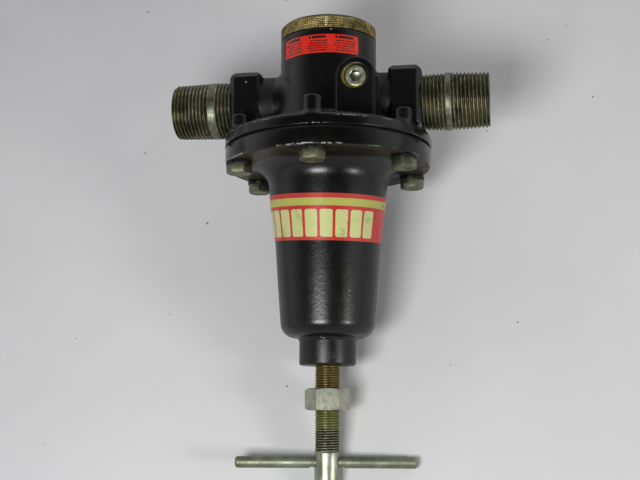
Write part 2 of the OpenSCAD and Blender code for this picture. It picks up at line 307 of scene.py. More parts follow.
class Paint:
    """A procedural material, or a world: its shader, and short calls that add and link nodes."""

    def __init__(self, name, library=bpy.data.materials, shader="Principled BSDF",
                 place="Object", **values):
        self.owner = library.new(name)
        self.owner.use_nodes = True
        self.tree = self.owner.node_tree
        self.shader = self.tree.nodes[shader]
        for key, value in values.items():
            self.shader.inputs[key.replace("_", " ")].default_value = value
        self.place = self.tree.nodes.new("ShaderNodeTexCoord").outputs[place]

    def node(self, kind, output=0, settings=None, **inputs):
        made = self.tree.nodes.new(kind)
        for key, value in (settings or {}).items():
            setattr(made, key, value)
        for key, value in inputs.items():
            self.feed(made.inputs[int(key[1:]) if key[0] == "i" and key[1:].isdigit() else key], value)
        return made.outputs[output]

    def feed(self, socket, value):
        if isinstance(value, bpy.types.NodeSocket):
            self.tree.links.new(value, socket)
        elif socket.type == "RGBA" and len(value) == 3:
            socket.default_value = (*value, 1)
        else:
            socket.default_value = value

    def noise(self, scale, detail=4, rough=0.55, at=None, distort=0.0):
        return self.node("ShaderNodeTexNoise", Vector=at or self.place, Scale=scale, Detail=detail,
                         Roughness=rough, Distortion=distort)

    def cells(self, scale):
        return self.node("ShaderNodeTexVoronoi", Vector=self.place, Scale=scale)

    def streaks(self, detail, rough, x, y, z):
        """Noise with its own scale along each axis."""
        at = self.node("ShaderNodeVectorMath", 0, {"operation": "MULTIPLY"}, i0=self.place, i1=(x, y, z))
        return self.noise(1, detail, rough, at)

    def math(self, operation, a, b=0.0):
        return self.node("ShaderNodeMath", 0, {"operation": operation}, i0=a, i1=b)

    def times(self, a, b):
        return self.math("MULTIPLY", a, b)

    def plus(self, a, b):
        return self.math("ADD", a, b)

    def minus(self, a, b):
        return self.math("SUBTRACT", a, b)

    def ramp(self, value, start, end, least=0.0, most=1.0):
        return self.node("ShaderNodeMapRange", 0, {"interpolation_type": "SMOOTHSTEP"},
                         Value=value, i1=start, i2=end, i3=least, i4=most)

    def mix(self, factor, a, b):
        return self.node("ShaderNodeMix", 2, {"data_type": "RGBA"}, i0=factor, i6=a, i7=b)

    def spots(self, start, end, most, *noise):
        """Noise that rises softly from 0 to most between two of its levels."""
        return self.ramp(self.noise(*noise), start, end, 0, most)

    def patches(self, a, b, start, end, *noise):
        """Two colours that meet in soft patches of noise."""
        return self.mix(self.spots(start, end, 1, *noise), a, b)

    def band(self, value, first, last, soft):
        """1 between two levels in millimetres, with soft edges beyond them."""
        return self.times(self.ramp(value, (first - soft) * MM, first * MM),
                          self.ramp(value, (last + soft) * MM, last * MM))

    def off(self, value, level):
        """How far a value is from a level in millimetres."""
        return self.math("ABSOLUTE", self.minus(value, level * MM))

    def along(self, axis):
        return self.node("ShaderNodeSeparateXYZ", "XYZ".index(axis), Vector=self.place)

    def distance(self, axis):
        """Distance from the X or Z axis, in metres."""
        a, b = [self.along(other) for other in "XYZ" if other != axis]
        return self.math("SQRT", self.plus(self.times(a, a), self.times(b, b)))

    def near(self, point, reach, ragged=0.5, scale=900):
        """1 inside a ragged spot round a point given in millimetres, 0 outside."""
        away = self.node("ShaderNodeVectorMath", 1, {"operation": "DISTANCE"}, i0=self.place,
                         i1=tuple(c * MM for c in point))
        shake = self.times(self.minus(self.noise(scale), 0.5), 2 * ragged * reach * MM)
        return self.ramp(self.plus(away, shake), reach * MM, 0.7 * reach * MM)

    def either(self, values):
        total = values[0]
        for value in values[1:]:
            total = self.math("MAXIMUM", total, value)
        return total

    def set(self, **sockets):
        for key, value in sockets.items():
            self.feed(self.shader.inputs[key.replace("_", " ")], value)

    def coat(self, base, least, most, *noise):
        """Sets the colour, and a roughness that wanders between two values."""
        self.set(Base_Color=base, Roughness=self.ramp(self.noise(*noise), 0.3, 0.7, least, most))

    def bumps(self, *layers):
        """Adds bump layers, each (height, depth in millimetres)."""
        normal = None
        for height, depth in layers:
            under = {"Normal": normal} if normal else {}
            normal = self.node("ShaderNodeBump", Height=height, Distance=depth * MM, Strength=1.0, **under)
        self.feed(self.shader.inputs["Normal"], normal)
        return self.owner


def black_paint(name, chips, scuffs, glint_rims, grime_under=False, sealant=None):
    """Semi-gloss black enamel with orange peel, chips, scuffs, painted glints on round rims and oily dust.
    Each rim is the (r, z) of a round edge where short bright dashes are painted on as glints of the lamps;
    sealant is a smeared spot."""
    p = Paint(name, IOR=1.58)
    base = p.patches((0.0022, 0.0023, 0.0023), (0.0044, 0.0048, 0.0044), 0.35, 0.7, 45, 3)
    base = p.mix(p.spots(0.5, 0.78, 0.25, 160, 6, 0.65), base, (0.026, 0.025, 0.019))
    base = p.mix(p.ramp(p.streaks(5, 0.6, 900, 900, 70), 0.68, 0.8, 0, 0.35), base, (0.026, 0.027, 0.025))
    rough = p.ramp(p.noise(220, 5, 0.6), 0.3, 0.75, 0.28, 0.34)
    rough = p.minus(rough, p.ramp(p.distance("Z"), 0.0585, 0.0592, 0, 0.12))
    if grime_under:
        soil = p.times(p.ramp(p.along("Z"), -0.0374, -0.038), p.ramp(p.along("Z"), -0.0398, -0.0385))
        soil = p.times(soil, p.ramp(p.distance("Z"), 0.043, 0.047))
        soil = p.times(soil, p.spots(0.3, 0.66, 1, 150, 6, 0.7))
        base = p.mix(soil, base, (0.045, 0.041, 0.018))
        p.set(Specular_IOR_Level=p.minus(0.5, p.times(soil, 0.38)))
        rough = p.plus(rough, p.times(soil, 0.22))
        rough = p.plus(rough, p.ramp(p.along("Z"), -0.137, -0.1385, 0, 0.07))
    else:
        web = p.band(p.off(p.along("X"), 0), 31, 36, 3)
        rough = p.plus(rough, p.times(web, 0.25))
    wear = p.either([p.near(*scuff) for scuff in scuffs])
    wear = p.times(wear, p.ramp(p.streaks(4, 0.7, 1500, 1500, 500), 0.5, 0.68))
    base = p.mix(p.times(wear, 0.6), base, (0.13, 0.135, 0.1))
    chips_and_glints = p.either([p.near(*chip, 0.8, 2200) for chip in chips])
    # Painted glints: short bright dashes along each round rim stand in for the lamps' reflection.
    for r, z in glint_rims:
        away = p.plus(p.off(p.distance("Z"), r), p.off(p.along("Z"), z))
        glint_dashes = p.times(p.spots(0.47, 0.54, 1, 55, 2), p.spots(0.42, 0.52, 1, 420, 3))
        chips_and_glints = p.math("MAXIMUM", chips_and_glints, p.times(p.ramp(away, 0.0008, 0.0004), glint_dashes))
    # Grey for the real paint chips and for the painted glints on the rims.
    base = p.mix(p.times(chips_and_glints, 0.75), base, (0.3, 0.305, 0.29))
    if sealant:
        smear = p.times(p.near(sealant, 8.0, 0.08), p.ramp(p.noise(420, 4), 0.25, 0.5, 0.35, 0.95))
        base = p.mix(smear, base, (0.24, 0.23, 0.055))
    p.set(Base_Color=base, Roughness=p.plus(rough, p.times(wear, 0.15)))
    return p.bumps((p.noise(620, 2, 0.4), 0.06), (p.noise(1600, 2, 0.5), 0.012),
                   (p.minus(1.0, chips_and_glints), 0.05))


def plug_brass():
    """Tarnished brass: olive film in the knurl's grooves, worn crests, turned marks on the face."""
    p = Paint("tarnished_brass", Metallic=1.0)
    radius = p.distance("Z")
    film = p.patches((0.11, 0.086, 0.036), (0.064, 0.054, 0.025), 0.35, 0.7, 70, 5, 0.6)
    worn = p.patches((0.3, 0.24, 0.105), (0.6, 0.5, 0.22), 0.4, 0.7, 300, 4, 0.7)
    crest = p.times(p.ramp(radius, 0.02788, 0.02815), p.spots(0.3, 0.62, 1, 90, 4, 0.6))
    mark = p.either([p.near(polar(-84, 28.2, z), 1.1, 0.7, 700) for z in (40.4, 41.8, 43.2, 44.6)])
    p.coat(p.mix(p.times(mark, 0.7), p.mix(crest, film, worn), (0.62, 0.6, 0.45)), 0.34, 0.55, 400)
    rings = p.math("SINE", p.times(radius, 18000.0))
    return p.bumps((rings, 0.004), (p.noise(900, 3), 0.015))


def pipe_steel(name, side, blank_low, blank_high, stain):
    """Oily pipe thread: olive film in the roots, bright steel on the crests, silvery blank band."""
    p = Paint(name, Metallic=1.0)
    x = p.times(p.along("X"), float(side))
    crest = p.times(p.ramp(p.distance("X"), 0.01565, 0.0164), p.spots(0.36, 0.66, 1, 330, 5, 0.75))
    root = p.patches((0.095, 0.096, 0.066), (0.26, 0.245, 0.165), 0.35, 0.65, 75, 5, 0.7)
    metal = p.patches((0.25, 0.255, 0.175), (0.53, 0.515, 0.4), 0.4, 0.65, 60)
    blank = p.patches((0.17, 0.175, 0.135), (0.27, 0.28, 0.22), 0.35, 0.65, 260, 5, 0.7)
    base = p.mix(p.band(x, blank_low, blank_high, 0.3), p.mix(crest, root, metal), blank)
    soil = p.times(p.band(x, stain - 0.6, stain + 0.8, 1.0), p.ramp(p.noise(210, 5), 0.3, 0.6, 0.1, 0.75))
    p.coat(p.mix(soil, base, (0.24, 0.2, 0.07)), 0.4, 0.58, 500)
    return p.bumps((p.noise(1100, 3), 0.02), (p.streaks(3, 0.6, 9000, 500, 500), 0.006))


def screw_steel():
    """The adjusting screw: olive-bronze film above the nut, green oil below it, plain zinc shank."""
    p = Paint("screw_plating", Metallic=1.0)
    z = p.along("Z")
    crest = p.times(p.ramp(p.distance("Z"), 0.00655, 0.00705), p.spots(0.25, 0.6, 1, 500, 5, 0.7))
    bronze = p.mix(crest, (0.24, 0.19, 0.085), (0.44, 0.37, 0.2))
    oily = p.mix(crest, (0.26, 0.27, 0.115), (0.46, 0.47, 0.27))
    dark = p.mix(crest, (0.1, 0.1, 0.072), (0.46, 0.46, 0.36))
    streak = p.ramp(p.streaks(4, 0.6, 400, 400, 90), 0.35, 0.7)
    shank = p.mix(streak, (0.27, 0.29, 0.215), (0.46, 0.48, 0.4))
    wander = p.plus(z, p.times(p.minus(p.noise(140), 0.5), 0.006))
    base = p.mix(p.ramp(wander, -0.1715, -0.1735), bronze, oily)
    base = p.mix(p.ramp(wander, -0.1865, -0.1895), base, dark)
    thread = p.ramp(z, (THREAD_END - 0.2) * MM, (THREAD_END + 0.8) * MM)
    rough = p.plus(p.ramp(p.noise(350), 0.3, 0.7, 0.36, 0.48), p.times(thread, 0.1))
    p.set(Base_Color=p.mix(thread, shank, base), Roughness=rough)
    return p.bumps((p.noise(1500, 3), 0.01), (p.noise(260, 3), 0.02))


def zinc(name, dark, light, tint, rough, tint_amount=0.6):
    """Dull zinc plating with a blotched chromate tint, fine pits and handling marks."""
    p = Paint(name, Metallic=1.0)
    base = p.patches(dark, light, 0.35, 0.68, 130, 5, 0.65)
    base = p.mix(p.spots(0.45, 0.72, tint_amount, 75, 4, 0.6, None, 1.2), base, tint)
    pits = p.ramp(p.cells(1500), 0.02, 0.16)
    marks = p.ramp(p.streaks(4, 0.7, 2600, 500, 1100), 0.6, 0.72, 0, 0.5)
    base = p.mix(marks, p.mix(pits, (0.1, 0.1, 0.08), base), (0.55, 0.56, 0.5))
    p.set(Base_Color=base, Roughness=p.ramp(p.noise(420, 5, 0.6), 0.3, 0.72, *rough))
    return p.bumps((p.noise(700), 0.03), (pits, 0.01))


def bar_zinc():
    """Zinc plated bar with drawn lines along its length."""
    p = Paint("bar_plating", Metallic=1.0)
    base = p.patches((0.23, 0.25, 0.18), (0.35, 0.37, 0.29), 0.35, 0.68, 110, 5, 0.6)
    base = p.mix(p.spots(0.5, 0.7, 0.5, 60, 4, 0.55, None, 0.8), base, (0.25, 0.245, 0.15))
    p.coat(base, 0.48, 0.62, 400)
    return p.bumps((p.streaks(3, 0.6, 60, 3500, 3500), 0.012), (p.noise(900, 3), 0.008))


def gauge_plug_steel(where, side):
    """Bright socket plug whose chamfer and first thread are tinted yellow, with painted shade deeper in the
    socket.
    """
    p = Paint("gauge_plug_plating_" + where, Metallic=1.0)
    x, z = p.off(p.along("X"), BOSS_X), p.off(p.along("Z"), BOSS_Z)
    radius = p.math("SQRT", p.plus(p.times(x, x), p.times(z, z)))
    base = p.patches((0.48, 0.5, 0.42), (0.68, 0.7, 0.62), 0.35, 0.68, 260)
    yellow = p.patches((0.34, 0.33, 0.08), (0.6, 0.58, 0.2), 0.35, 0.65, 420)
    base = p.mix(p.ramp(radius, 0.0054, 0.0059), base, yellow)
    # Painted shade: the colour darkens with depth inside the hexagon socket.
    socket_shade = p.ramp(p.times(p.along("Y"), float(-side)), (1.2 - BOSS_FACE) * MM, (6.5 - BOSS_FACE) * MM)
    p.coat(p.mix(socket_shade, base, (0.24, 0.245, 0.19)), 0.38, 0.52, 500, 3)
    return p.bumps((p.noise(1200, 3), 0.012))


def printed(name, wear_scale, wear_color, least, most):
    """A printed sticker: the print is in the mesh's colours, under scratches, dirt and a clear film."""
    p = Paint(name, Coat_Weight=0.25, Coat_Roughness=0.25, IOR=1.45)
    ink = p.node("ShaderNodeVertexColor", 0, {"layer_name": "print"})
    base = p.mix(p.spots(0.35, 0.7, 0.12, 90), ink, p.mix(0.4, ink, (0.45, 0.4, 0.3)))
    base = p.mix(p.spots(0.52, 0.72, 0.45, 130, 5, 0.7), base, p.mix(0.7, base, (0.05, 0.05, 0.02)))
    wear = p.spots(0.66, 0.76, 0.8, wear_scale, 6, 0.7)
    p.coat(p.mix(wear, base, wear_color), least, most, 300)
    return p.bumps((p.noise(400, 3), 0.02), (wear, 0.01))


def rubber():
    p = Paint("black_rubber")
    p.coat(p.mix(p.noise(240), (0.008, 0.008, 0.008), (0.02, 0.02, 0.019)), 0.45, 0.62, 300)
    return p.bumps((p.noise(1200), 0.02))


def machined(name, dark, light, least, most):
    """Turned metal with fine rings about the main axis."""
    p = Paint(name, Metallic=1.0)
    p.coat(p.patches(dark, light, 0.3, 0.7, 150, 5), least, most, 350)
    rings = p.math("SINE", p.times(p.distance("Z"), 16000.0))
    return p.bumps((rings, 0.003), (p.noise(900, 3), 0.01))


def spring_wire():
    p = Paint("spring_wire", Metallic=1.0)
    p.coat(p.patches((0.14, 0.14, 0.145), (0.3, 0.3, 0.31), 0.3, 0.7, 180, 5), 0.28, 0.45, 300)
    return p.bumps((p.noise(1400, 3), 0.01))


def washer_black():
    p = Paint("black_oxide", Metallic=0.6)
    p.coat(p.patches((0.012, 0.012, 0.012), (0.045, 0.044, 0.04), 0.3, 0.7, 300, 5), 0.28, 0.5, 400)
    return p.bumps((p.noise(1100, 3), 0.015))


# -------- body casting


def smooth_min(a, b, k):
    h = np.clip(0.5 + 0.5 * (b - a) / k, 0, 1)
    return b + (a - b) * h - k * h * (1 - h)


def smooth_max(a, b, k):
    return -smooth_min(-a, -b, k)


def body_field(x, y, z):
    """Signed distance to the cast body in millimetres, with cast fillets, rounded edges and its bores."""
    across, round_x = np.hypot(x, y), np.hypot(y, z)
    out_x, out_y, out_z = np.abs(x), np.abs(y), np.abs(z)
    barrel = smooth_max(across - BARREL_R, z - BARREL_TOP, 1.0)

    # Square hubs: a flat, then the other flats, the long bevels, the ends and the ends' bevels
    inner, root2 = HUB_FACE - 19.2, math.sqrt(2)
    hub = out_y - HUB_HALF
    planes = [out_z - HUB_HALF, (out_y + out_z - 2 * HUB_HALF + 3.6) / root2, out_x - HUB_FACE,
              inner - out_x]
    for side in (out_y, out_z):
        planes.append((out_x + side - HUB_FACE - HUB_HALF + 3.2) / root2)
        planes.append((side - out_x - HUB_HALF + inner + 2.4) / root2)
    for plane in planes:
        hub = smooth_max(hub, plane, 0.7)
    neck = np.maximum(round_x - HUB_HALF + 0.1, out_x - inner - 4)

    # Flange with a sloping top and a rounded rim
    slope = (0.264 * (across - 58.2) + 0.9645 * (z - FLANGE_TOP)).astype(np.float32)
    flange = smooth_max(across - FLANGE_R, slope, 2.4)
    web = smooth_min(neck, flange, 9.0)
    casting = smooth_min(smooth_min(barrel, web, 4.0), smooth_min(hub, flange, 3.0), 1.1)

    # Gauge boss on each side, an arch that runs down into the flange
    dx, dz = np.abs(x - BOSS_X), z - BOSS_Z
    arch = np.where(dz > 0, np.hypot(dx, dz), dx) - BOSS_R
    boss = smooth_max(arch, out_y - BOSS_FACE, 1.7)
    boss = np.maximum(boss, 8 - out_y)
    casting = smooth_min(casting, boss, 1.5)

    # Bolt bosses, of which the two on the Y axis are taller
    centres = [polar(angle, BOLT_CIRCLE) for angle in BOLT_ANGLES]
    for bolt_x, bolt_y, _ in centres:
        top = -9.4 if abs(bolt_x) < 1 else -10.8
        post = smooth_max(np.hypot(x - bolt_x, y - bolt_y) - 5.2, z - top, 1.8)
        casting = smooth_min(casting, post, 3.0)
    casting = smooth_max(casting, FLANGE_LOW - z, 0.7)

    def cut(shape, hole, k=0.3):
        return smooth_max(shape, -hole, k)

    # Valve chamber, seat bore, outlet chamber, stem bore and the recess over the diaphragm
    for r, ends in ((22, 6.5 - z), (12.02, np.abs(z - 3.5) - 4), (14, np.abs(z + 6.75) - 7.25),
                    (3.03, np.abs(z + 17) - 5), (44, z + 20)):
        casting = cut(casting, np.maximum(across - r, ends))

    # Pipe bores, ducts (a wall keeps the outlet's out of the valve chamber), gauge ports, bolt holes
    casting = cut(casting, np.maximum(round_x - 16.6, 38 - out_x), 0.6)
    duct = np.maximum(round_x - 12.5, 6 - out_x)
    wall = np.maximum(np.maximum(-x, x - 27), 2.5 - z)
    casting = cut(casting, np.maximum(np.where(x > 0, duct, np.maximum(duct, 18 - out_x)), -wall))
    port = np.maximum(np.hypot(dx, dz) - 6.75, 17 - out_y)
    sink = np.hypot(dx, dz) - 7.2 - np.clip(out_y - BOSS_FACE, -1, 0.6)
    sink = np.maximum(sink, np.abs(out_y - BOSS_FACE - 0.5) - 1.5)
    casting = cut(casting, np.minimum(port, sink))
    for bolt_x, bolt_y, _ in centres:
        casting = cut(casting, np.maximum(np.hypot(x - bolt_x, y - bolt_y) - 4.05, z + 14))
    return casting


def body_casting():
    """Meshes the body's field on a fine grid, then slides each point onto the exact surface."""
    step, margin, reach = 0.65, 2.0, 0.05
    corner = low("body") - margin
    count = np.ceil((high("body") + margin - corner) / step).astype(int)
    axes = [corner[i] + step * np.arange(count[i]) for i in range(3)]
    x, y, z = np.meshgrid(*[a.astype(np.float32) for a in axes], indexing="ij")
    grid = openvdb.FloatGrid(background=margin)
    grid.copyFromArray(np.clip(body_field(x, y, z), -margin, margin).astype(np.float32))
    points, faces = grid.convertToQuads(0.0)
    points = np.asarray(points, np.float64) * step + corner
    for _ in range(2):
        here = body_field(*points.T)
        slope = [body_field(*(points + shift).T) - body_field(*(points - shift).T)
                 for shift in reach * np.eye(3)]
        slope = np.stack(slope, 1) / (2 * reach)
        length = np.maximum((slope ** 2).sum(1), 0.3)
        points -= slope * (np.clip(here, -0.4, 0.4) / length)[:, None]
    return mesh_piece("body_casting", points, np.asarray(faces), sharp=60)


paint_body = black_paint(
    "body_enamel",
    chips=[(polar(-78, 28.6, 37.6), 0.8), ((-45.6, -18.6, 11.6), 0.7), ((39.0, -18.6, -6.0), 0.4)],
    scuffs=[((-47.5, -18.6, -7.5), 3.0), ((-47, -18.6, 14.5), 1.4), (polar(-60, 28.2, 36), 1.6)],
    # Painted glints along these round edges of the body's flange.
    glint_rims=[(60.4, -21.5), (61.2, -23.8), (61.1, -26.4)],
    sealant=(BOSS_X - 1.0, -BOSS_FACE, BOSS_Z - 0.2))
paint_bonnet = black_paint(
    "bonnet_enamel",
    chips=[(polar(-58, 27.9, -113), 0.4), (polar(-55.5, 28.0, -112), 0.45),
           (polar(-56.5, 27.8, -114.5), 0.35), (polar(-88, 16.9, -137.6), 0.7),
           (polar(-93, 16.9, -136.9), 0.5), (polar(-44, 59.9, -37.0), 0.5)],
    scuffs=[(polar(-74, 16.1, -147), 2.8), (polar(-100, 16.1, -141), 1.8), (polar(-86, 16.8, -137.4), 1.6)],
    # Painted glints along these round edges of the bonnet's flange.
    glint_rims=[(61.2, -28.6), (61.2, -33.7), (59.5, -37.2)],
    grime_under=True)

finish_piece(body_casting(), "housing", "black_paint", paint_body, "body")

# -------- bonnet


def arc(r, z, radius, angles):
    """Points round (r, z) at angles in degrees from the direction of r."""
    return [(r + polar(a, radius)[0], z + polar(a, radius)[1]) for a in angles]


def bonnet_casting():
    wall, cove_at, corner_at, neck_r, bore_r = 3.6, 46.4, 18.45, 16.1, SCREW_R + 0.1
    outer = [(45, BONNET_TOP, 0.2), (FLANGE_R, BONNET_TOP, 0.55), (FLANGE_R, -33.6, 0.8),
             (59.55, -37.3, 0.5), (58.7, SEAT_Z, 0.4), (cove_at, SEAT_Z)]
    outer += arc(cove_at, SEAT_Z - COVE_R, COVE_R, range(96, 181, 6))
    outer += [(r, z, 60) for r, z in BELL[1:]]
    outer += arc(corner_at, BELL_FLOOR + BELL_CORNER_R, BELL_CORNER_R, range(-6, -85, -6))
    outer += [(17.3, BELL_FLOOR, 0.8), (neck_r, BELL_FLOOR - 2.0, 1.0), (neck_r, NECK_END, 1.3),
              (bore_r + 1.2, NECK_END, 0.2), (bore_r, NECK_END + 1.2)]
    inner = [(bore_r, -131), (21, -131, 2.0), (23.4, -127.5, 1.0)]
    inner += [(r - wall, z) for r, z in reversed(BELL)]
    inner += [(31.6, -44, 2.0), (36.5, -35, 2.0), (44, -33.5, 0.6)]
    obj = lathe("bonnet_casting", outer + inner, 192, True)
    cutters = [at_bolt(i, rod("hole", BOLT_R + 0.3, SEAT_Z - 2, BONNET_TOP + 2)) for i in range(6)]
    return carve(obj, cutters + [place(rod("breather", 2.0, 20, 34), spin(-90, "X"), (0, 0, -95))])


finish_piece(bonnet_casting(), "housing", "black_paint", paint_bonnet, "bonnet")

# -------- bottom plug


def knurled_plug():
    """Plug with a checkered knurl round its band, a recessed face and a key slot."""
    knurl_z, knurl_count, knurl_depth, bevel = 1.08, 150, 0.36, 1.7
    top = high("bottom_plug")[2]
    recess, band_low, band_high = top - 1.6, BARREL_TOP, top - bevel

    def ridges(angle, r, s):
        if r < BARREL_R - 0.01 or not band_low + 0.3 < s < band_high - 0.2:
            return plain(angle, r)
        down = abs(2 * ((s - band_low) / knurl_z % 1) - 1)
        over = np.abs(2 * (angle * knurl_count / (2 * math.pi) % 1) - 1)
        return r - knurl_depth * (0.55 * (1 - min(1, down * 1.6)) + 0.45 * (1 - np.minimum(1, over * 1.7)))

    spigot, groove, groove_low, groove_high = 21.9, 19.95, 35.95, 38.05
    rows = rounded([(0, 24), (8, 24), (spigot, 24, 1.0), (spigot, groove_low, 0.2),
                    (groove, groove_low), (groove, groove_high), (spigot, groove_high, 0.2),
                    (spigot, band_low + 0.05), (BARREL_R - 0.35, band_low + 0.05),
                    (BARREL_R, band_low + 0.3)])
    rows += [(BARREL_R, s) for s in np.arange(band_low + 0.3, band_high, knurl_z / 8)]
    rows += rounded([(BARREL_R, band_high), (BARREL_R - 0.1, band_high + 0.15, 0.1),
                     (BARREL_R - bevel, top, 0.5), (20, top, 0.3), (19, recess, 0.5),
                     (2.2, recess, 0.2), (0, top - 3.0)], steps=3)
    obj = mesh_piece("bottom_plug_knurled", *turned(rows, knurl_count * 6, False, "Z", ridges), sharp=28)
    corners = [(x, y, z) for x in (-19, 19) for y in (-1.6, 1.6) for z in (top - 4.4, top + 1)]
    faces = [(0, 1, 3, 2), (4, 6, 7, 5), (0, 4, 5, 1), (2, 3, 7, 6), (0, 2, 6, 4), (1, 5, 7, 3)]
    slot = mesh_piece("slot", corners, faces)
    return carve(obj, [slot, rod("guide", 8, 20, 40)], sharp=28)


finish_piece(knurled_plug(), "housing", "old_brass", plug_brass(), "bottom_plug")

# -------- pipe nipples


def nipple(name, side, reach, blank):
    """A pipe nipple with tapered threads at both ends of its blank band; side is +1 or -1 along X."""
    depth, step = 1.35, PIPE_PITCH / 10
    back, blank_high = reach - NIPPLE_LENGTH, reach - PIPE_THREAD
    blank_low = blank_high - blank
    outer = thread_shape(PIPE_PITCH, depth, blank_high, reach, 1.2, 0)
    inner = thread_shape(PIPE_PITCH, depth, back, blank_low, 0, 1.2)

    def radius(angle, r, s):
        if r < PIPE_BORE_R + 1.6:
            return plain(angle, r)
        taper = PIPE_R - max(0.0, s - blank_high, blank_low - s) / 32
        chamfer = PIPE_BORE_R + 1.7 + 1.3 * max(0.0, reach - s)
        return np.minimum((outer if s > blank_high else inner)(angle, taper, s), chamfer)

    stations = [np.arange(back, blank_low, step), np.linspace(blank_low, blank_high, 6),
                np.arange(blank_high, reach, step)[1:], [reach]]
    rows = [(PIPE_R, s) for s in np.concatenate(stations)]
    rows += [(PIPE_BORE_R + 0.5, reach), (PIPE_BORE_R, reach - 0.5), (PIPE_BORE_R, back)]
    points, faces = turned(rows, 120, True, "X", radius)
    points[:, 0] *= side
    points[:, 2] *= side                # a half turn about Y keeps the thread right-handed
    obj = mesh_piece(name, points, faces, sharp=40)
    stain = reach - (11.4 if side > 0 else 3)
    steel = pipe_steel(name + "_steel", side, blank_low, blank_high, stain)
    return finish_piece(obj, "housing", "pipe_steel", steel)


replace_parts(nipple("inlet_nipple_threaded", -1, -low("inlet_nipple")[0], 3.6), "inlet_nipple")
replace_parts(nipple("outlet_nipple_threaded", 1, high("outlet_nipple")[0], 2.3), "outlet_nipple")

# -------- gauge plugs


def socket_plug(name, side):
    """Taper plug with a hexagon socket; side -1 is the front."""
    face, r, socket = BOSS_FACE - 0.9, 6.7, 6.35 / math.sqrt(3)
    obj = lathe(name, [(0, -10), (r - 1.2, -10, 0.3), (r - 0.2, -8), (r, -1.2, 0.3),
                       (r - 0.35, -0.55, 0.2), (r - 1.2, 0, 0.35), (0, 0)], 96)
    hexagon = lathe("socket", [(0, -5.2), (socket, -4.2), (socket, 1), (0, 1)], 6)
    entry = lathe("entry", [(0, -0.6), (socket - 0.45, -0.6), (socket + 0.35, 0.2), (0, 0.2)], 64)
    carve(obj, [hexagon, entry], sharp=30)
    soften(obj, 0.12, 2, 30)
    return place(obj, spin(-90 * side, "X"), (BOSS_X, side * face, BOSS_Z))


for where, side in (("front", -1), ("rear", 1)):
    plug = socket_plug(where + "_gauge_socket_plug", side)
    finish_piece(plug, "housing", "bright_zinc", gauge_plug_steel(where, side), where + "_gauge_plug")

# -------- hexagons: bolts and nut


def hexagon_piece(name, flats, z0, z1, both_ends, turn):
    """Hexagonal prism whose low end, and high end if asked, is turned to a cone."""
    corner = flats / math.sqrt(3)
    flat_r = flats / 2 - 0.15
    rise = 0.58 * (corner + 1 - flat_r)
    obj = lathe(name, [(0, z0), (corner, z0), (corner, z1), (0, z1)], 6)
    obj.data.transform(spin(turn))
    cone = [(0, z0), (flat_r, z0), (corner + 1, z0 + rise)]
    if both_ends:
        cone += [(corner + 1, z1 - rise), (flat_r, z1), (0, z1)]
    else:
        cone += [(corner + 1, z1 + 1), (0, z1 + 1)]
    return carve(obj, [lathe("cone", cone, 96)], "INTERSECT", 20)


def bolt(index):
    top, under = SEAT_Z - WASHER_T, low("bonnet_bolts")[2]
    obj = hexagon_piece(f"flange_bolt_{index + 1}", BOLT_AF, under, top, False, HEAD_TURN[index])
    dish = [(0, under - 1), (4.2, under - 1), (4.2, under + 0.12), (0, under + 0.25)]
    carve(obj, [lathe("dish", dish, 48)], sharp=20)
    soften(obj, 0.22, 2, 20)
    shank = [(0, top - 0.3), (BOLT_R, top - 0.3), (BOLT_R, -16, 0.3), (BOLT_R - 0.8, -14.6), (0, -14.6)]
    carve(obj, [lathe("shank", shank, 32)], "UNION")
    return at_bolt(index, obj)


def end_faces(total, columns):
    """Faces that close the first and the last ring of a rod of points."""
    return [tuple(range(columns)), tuple(range(total - 1, total - columns - 1, -1))]


def split_washer(index):
    """Helical spring washer with a slanted split and softened edges."""
    outer, inner, gap, edge, columns = 7.4, 4.2, 8.0, 0.3, 96
    low_z, high_z = SEAT_Z - WASHER_T, SEAT_Z
    section = rounded([(inner, low_z, edge), (outer, low_z, edge), (outer, high_z, edge),
                       (inner, high_z, edge)], True, 3)
    points, middle = [], (low_z + high_z) / 2
    for k in range(columns + 1):
        for r, z in section:
            slant = (z - middle) * 5.0 * (1 - 2 * k / columns)
            points.append(polar(140 + gap / 2 + (360 - gap) * k / columns - slant, r, z))
    faces = ring_faces(columns + 1, len(section)) + end_faces(len(points), len(section))
    return at_bolt(index, mesh_piece(f"lock_washer_{index + 1}", points, faces))


bolt_zinc = zinc("bolt_plating", (0.165, 0.178, 0.122), (0.285, 0.303, 0.218), (0.22, 0.21, 0.125),
                 (0.42, 0.58))
black_oxide = washer_black()
for number in range(6):
    finish_piece(bolt(number), "housing", "zinc", bolt_zinc, "bonnet_bolts")
    finish_piece(split_washer(number), "housing", "dark_washer", black_oxide, "lock_washers")


def lock_nut():
    obj = hexagon_piece("lock_nut_chamfered", NUT_AF, NUT_LOW, NUT_HIGH, True, NUT_ANGLE)
    sink = SCREW_R + 0.12
    bore = [(0, NUT_LOW - 1), (sink + 2, NUT_LOW - 1), (sink, NUT_LOW + 1), (sink, NUT_HIGH - 1),
            (sink + 2, NUT_HIGH + 1), (0, NUT_HIGH + 1)]
    carve(obj, [lathe("bore", bore, 96)], sharp=20)
    return soften(obj, 0.35, 3, 20)


nut_zinc = zinc("nut_plating", (0.38, 0.39, 0.335), (0.52, 0.525, 0.455), (0.36, 0.365, 0.25),
                (0.66, 0.8), 0.4)
finish_piece(lock_nut(), "nut", "zinc", nut_zinc, "lock_nut")

# -------- adjusting screw and T-bar


def along_bar(name, outline, columns, radius=None, lift=0.0):
    """A piece turned about the T-bar's axis, put in the screw's cross hole."""
    obj = mesh_piece(name, *turned(outline, columns, False, "X", radius))
    obj.data.transform(Matrix.Translation((BAR_SHIFT * MM, 0, 0)))
    return place(obj, spin(BAR_ANGLE), (0, 0, BAR_Z + lift))


